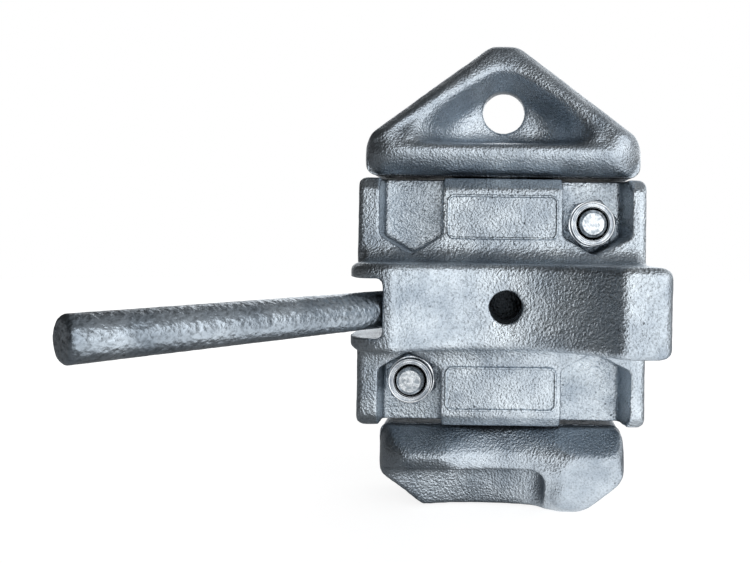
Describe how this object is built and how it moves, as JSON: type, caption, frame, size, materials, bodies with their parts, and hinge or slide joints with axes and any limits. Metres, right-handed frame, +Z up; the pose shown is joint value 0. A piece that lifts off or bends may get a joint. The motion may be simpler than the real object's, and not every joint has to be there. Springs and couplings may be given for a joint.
{
  "type": "container twistlock",
  "caption": "Intermediate twistlock for stacked freight containers: a parted housing with two collars, and a spindle whose cones a side handle turns by a quarter.",
  "frame": {"origin": "on the spindle axis, in the plane of the flange's lower seat, where the twistlock sits in the lower container's corner casting", "axes": "+Z up along the spindle axis, X along the collars and the unlocked cones with the handle slot on -X, -Y towards the front half with the nuts"},
  "size_m": [0.1637, 0.1939, 0.1791],
  "materials": {
    "galvanised_casting": "rough cast steel, hot-dip galvanised",
    "galvanised_forging": "forged steel, hot-dip galvanised",
    "galvanised_bar": "round steel bar, coarse hot-dip galvanising",
    "zinc_plated_steel": "bright zinc plating",
    "hardened_steel": "ground",
    "spring_steel": "tempered, oiled",
    "nylon": "moulded"
  },
  "bodies": {
    "housing": {"front_housing_half": "galvanised_casting", "rear_housing_half": "galvanised_casting", "upper_cap_screw": "zinc_plated_steel", "lower_cap_screw": "zinc_plated_steel", "upper_lock_nut": "zinc_plated_steel", "lower_lock_nut": "zinc_plated_steel", "upper_nut_insert": "nylon", "lower_nut_insert": "nylon", "upper_dowel_pin": "hardened_steel", "lower_dowel_pin": "hardened_steel", "detent_leaf_spring": "spring_steel"},
    "spindle_and_handle": {"spindle": "galvanised_forging", "handle_bar": "galvanised_bar", "handle_spring_pin": "spring_steel"}
  },
  "joints": [
    {"name": "spindle_turn", "type": "hinge", "parent": "housing", "child": "spindle_and_handle", "pos_m": [0, 0, 0.015], "axis": [0, 0, 1], "range_deg": [-90, 0], "deforming": ["detent_leaf_spring"]}
  ]
}
